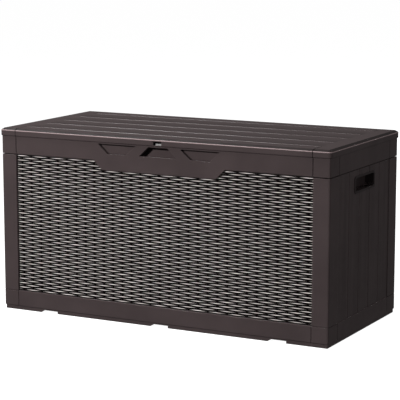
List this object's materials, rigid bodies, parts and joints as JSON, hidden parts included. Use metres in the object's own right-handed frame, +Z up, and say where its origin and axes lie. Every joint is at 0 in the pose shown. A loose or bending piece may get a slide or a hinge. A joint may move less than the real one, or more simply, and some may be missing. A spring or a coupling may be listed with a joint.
{
  "type": "deck storage box",
  "caption": "Lidded resin storage box for decks and gardens, with a wicker-look front, plank-look lid, hand holes, finger grips and gas struts.",
  "frame": {"origin": "bottom centre of the closed box, on the surface that it stands on", "axes": "+X to the right along the wicker front, +Y from the front to the back, +Z up"},
  "size_m": [1.2, 0.566, 0.616],
  "materials": {
    "resin": "fine moulded grain, dark brown",
    "wicker": "moulded wicker relief, dark brown, slightly glossier on the strands",
    "cup": "smooth moulded resin, dark brown",
    "inner_resin": "matte moulded resin, dark brown",
    "steel": "zinc-plated pressed steel",
    "screws": "zinc-plated pan heads",
    "strut_tube": "satin black paint",
    "strut_rod": "ground and chromed rod"
  },
  "bodies": {
    "box": {"back_panel": "resin", "base_corner_front_left": "resin", "base_corner_front_right": "resin", "base_corner_rear_left": "resin", "base_corner_rear_right": "resin", "base_rail_front": "resin", "base_rail_left": "resin", "base_rail_rear": "resin", "base_rail_right": "resin", "bracket_screws_body": "screws", "catch_screws": "screws", "corner_post_front_left": "resin", "corner_post_front_right": "resin", "corner_post_rear_left": "resin", "corner_post_rear_right": "resin", "floor_panel": "inner_resin", "front_wicker_panel": "wicker", "hand_cup_left": "cup", "hand_cup_right": "cup", "hinge_leaf_body_centre": "steel", "hinge_leaf_body_left": "steel", "hinge_leaf_body_right": "steel", "hinge_pin_centre": "steel", "hinge_pin_left": "steel", "hinge_pin_right": "steel", "hinge_screws_body": "screws", "lock_plate_body": "steel", "side_panel_left": "resin", "side_panel_right": "resin", "strut_bracket_body_left": "steel", "strut_bracket_body_right": "steel"},
    "lid": {"bracket_screws_lid": "screws", "hinge_leaf_lid_centre": "steel", "hinge_leaf_lid_left": "steel", "hinge_leaf_lid_right": "steel", "hinge_screws_lid": "screws", "lid_corner_front_left": "resin", "lid_corner_front_right": "resin", "lid_corner_rear_left": "resin", "lid_corner_rear_right": "resin", "lid_end_cap_left": "resin", "lid_end_cap_right": "resin", "lid_fascia": "resin", "lid_liner": "inner_resin", "lid_rear_rail": "resin", "lid_top_panel": "resin", "lock_plate_lid": "steel", "strut_bracket_lid_left": "steel", "strut_bracket_lid_right": "steel"},
    "strut_cylinder_left": {"strut_cylinder_left": "strut_tube"},
    "strut_rod_left": {"strut_rod_left": "strut_rod"},
    "strut_cylinder_right": {"strut_cylinder_right": "strut_tube"},
    "strut_rod_right": {"strut_rod_right": "strut_rod"}
  },
  "joints": [
    {"name": "lid_hinge", "type": "hinge", "parent": "box", "child": "lid", "pos_m": [0, 0.276, 0.529], "axis": [-1, 0, 0], "range_deg": [0, 80]},
    {"name": "strut_cylinder_pivot_left", "type": "hinge", "parent": "box", "child": "strut_cylinder_left", "pos_m": [-0.548, 0.19492, 0.34617], "axis": [-1, 0, 0], "range_deg": [0, 40]},
    {"name": "strut_rod_pivot_left", "type": "hinge", "parent": "lid", "child": "strut_rod_left", "pos_m": [-0.548, 0.07842, 0.56], "axis": [-1, 0, 0], "range_deg": [-40, 0]},
    {"name": "strut_cylinder_pivot_right", "type": "hinge", "parent": "box", "child": "strut_cylinder_right", "pos_m": [0.548, 0.19492, 0.34617], "axis": [-1, 0, 0], "range_deg": [0, 40]},
    {"name": "strut_rod_pivot_right", "type": "hinge", "parent": "lid", "child": "strut_rod_right", "pos_m": [0.548, 0.07842, 0.56], "axis": [-1, 0, 0], "range_deg": [-40, 0]}
  ],
  "couplings": [
    {"joint": "strut_cylinder_pivot_left", "follows": "lid_hinge", "ratio": 0.5},
    {"joint": "strut_rod_pivot_left", "follows": "lid_hinge", "ratio": -0.5},
    {"joint": "strut_cylinder_pivot_right", "follows": "lid_hinge", "ratio": 0.5},
    {"joint": "strut_rod_pivot_right", "follows": "lid_hinge", "ratio": -0.5}
  ]
}
